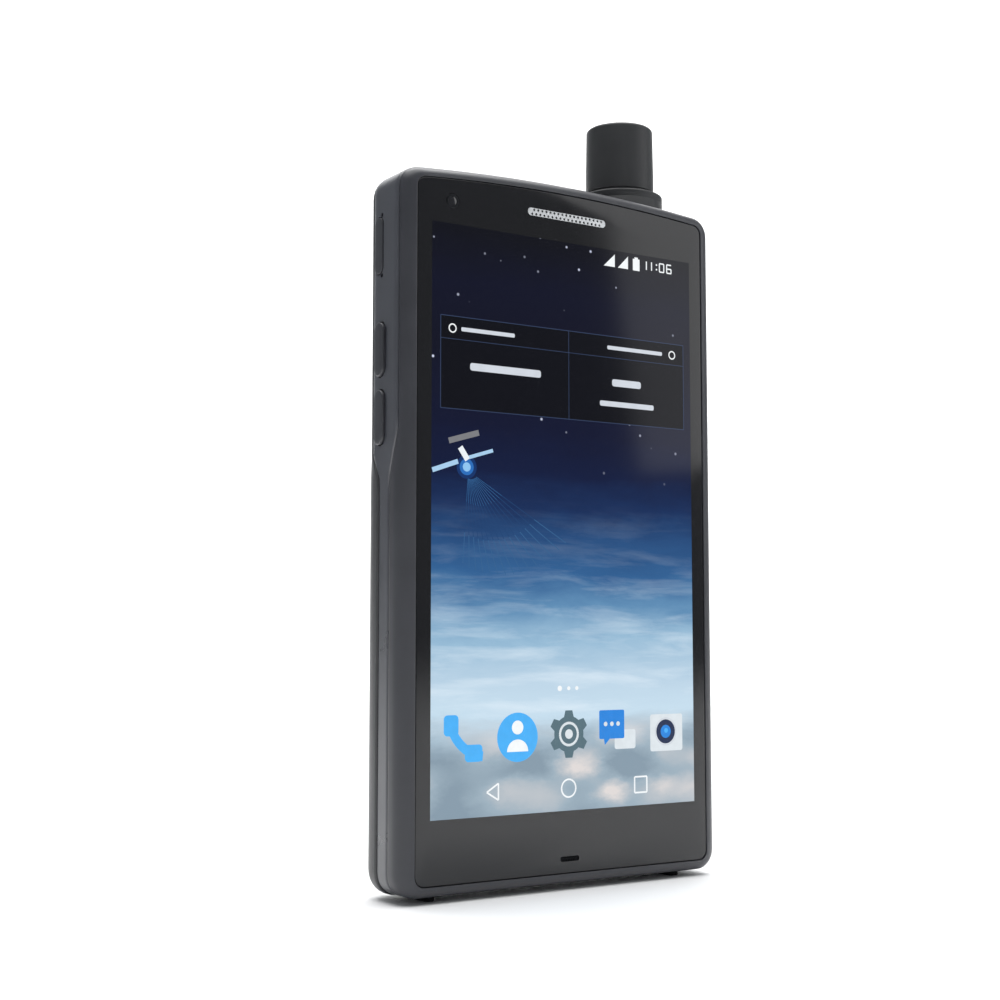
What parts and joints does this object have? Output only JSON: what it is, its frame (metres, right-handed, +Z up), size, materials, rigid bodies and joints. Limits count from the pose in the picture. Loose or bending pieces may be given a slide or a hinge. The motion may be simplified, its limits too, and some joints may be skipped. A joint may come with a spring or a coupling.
{
  "type": "satellite phone",
  "caption": "Slab handset with a full-face touch screen and a pull-out satellite antenna rising from a collar at one end of its top edge.",
  "frame": {"origin": "middle of the bounding box, on the surface that the feet stand on", "axes": "+Z up along the antenna, -Y out of the screen, +X to the right of someone facing the screen"},
  "size_m": [0.0794, 0.024, 0.1625],
  "materials": {
    "housing_front": "satin moulded",
    "housing_frame": "satin moulded",
    "housing_back": "fine textured",
    "black_rubber": "moulded silicone",
    "cover_glass": "polished glass printed black behind",
    "adhesive": "foam tape",
    "display": "lit display",
    "magnesium": "cast",
    "mesh_steel": "etched",
    "module_black": "moulded",
    "lens_ring": "gloss",
    "gold_contact": "plated",
    "antenna_cap": "matt moulded",
    "antenna_sleeve": "satin",
    "copper": "etched copper",
    "former": "ceramic-filled",
    "brass": "turned",
    "acetal": "machined",
    "coax_jacket": "extruded",
    "key_plastic": "satin moulded",
    "flex": "polyimide",
    "dome_steel": "stamped",
    "tray_plastic": "satin moulded",
    "seal_red": "moulded silicone",
    "card_white": "printed card",
    "shield_steel": "tinned",
    "circuit_board": "solder mask",
    "battery_foil": "laminated foil",
    "connector": "moulded",
    "trim_metal": "turned and anodised",
    "lens_glass": "coated glass",
    "flash_resin": "moulded",
    "screw_steel": "black zinc"
  },
  "bodies": {
    "casing": {"front_housing": "housing_front", "mid_frame": "housing_frame", "rear_cover": "housing_back", "housing_gasket": "black_rubber", "antenna_o_ring": "black_rubber", "bottom_feet": "black_rubber", "cover_glass": "cover_glass", "glass_adhesive": "adhesive", "display_panel": "display", "chassis_plate": "magnesium", "earpiece_mesh": "mesh_steel", "microphone_mesh": "mesh_steel", "loudspeaker_mesh": "mesh_steel", "earpiece_receiver": "module_black", "front_camera_module": "module_black", "rear_camera_module": "module_black", "loudspeaker": "module_black", "usb_c_tongue": "module_black", "headset_jack": "module_black", "front_camera_lens": "lens_ring", "microphone": "gold_contact", "antenna_feed_contact": "gold_contact", "antenna_collar": "antenna_cap", "antenna_guide_tube": "acetal", "antenna_bush": "acetal", "antenna_coax": "coax_jacket", "left_key_board": "flex", "right_key_board": "flex", "board_flex": "flex", "dome_switches": "dome_steel", "sim_socket": "shield_steel", "processor_shield": "shield_steel", "satellite_modem_shield": "shield_steel", "usb_c_shell": "shield_steel", "vibration_motor": "shield_steel", "main_board": "circuit_board", "lower_board": "circuit_board", "battery_pack": "battery_foil", "battery_connector": "connector", "rear_camera_trim": "trim_metal", "rear_lens_cover": "lens_glass", "flash_lens": "flash_resin", "housing_screws": "screw_steel", "board_screws": "screw_steel"},
    "antenna": {"antenna_cap": "antenna_cap", "antenna_sleeve": "antenna_sleeve", "antenna_helix": "copper", "antenna_former": "former", "antenna_stop_ring": "brass"},
    "volume_up": {"volume_up_key": "key_plastic"},
    "volume_down": {"volume_down_key": "key_plastic"},
    "side_button": {"side_key": "key_plastic"},
    "power": {"power_key": "key_plastic"},
    "card_tray": {"sim_tray": "tray_plastic", "tray_seal": "seal_red", "sim_cards": "card_white"}
  },
  "joints": [
    {"name": "antenna_slide", "type": "slide", "parent": "casing", "child": "antenna", "axis": [0, 0, 1], "range_m": [0, 0.05]},
    {"name": "volume_up_press", "type": "slide", "parent": "casing", "child": "volume_up", "axis": [1, 0, 0], "range_m": [0, 0.0004], "stiffness_N_per_m": 1000},
    {"name": "volume_down_press", "type": "slide", "parent": "casing", "child": "volume_down", "axis": [1, 0, 0], "range_m": [0, 0.0004], "stiffness_N_per_m": 1000},
    {"name": "side_press", "type": "slide", "parent": "casing", "child": "side_button", "axis": [1, 0, 0], "range_m": [0, 0.0004], "stiffness_N_per_m": 1000},
    {"name": "power_press", "type": "slide", "parent": "casing", "child": "power", "axis": [-1, 0, 0], "range_m": [0, 0.0004], "stiffness_N_per_m": 1000},
    {"name": "card_tray_slide", "type": "slide", "parent": "casing", "child": "card_tray", "axis": [1, 0, 0], "range_m": [0, 0.027]}
  ]
}
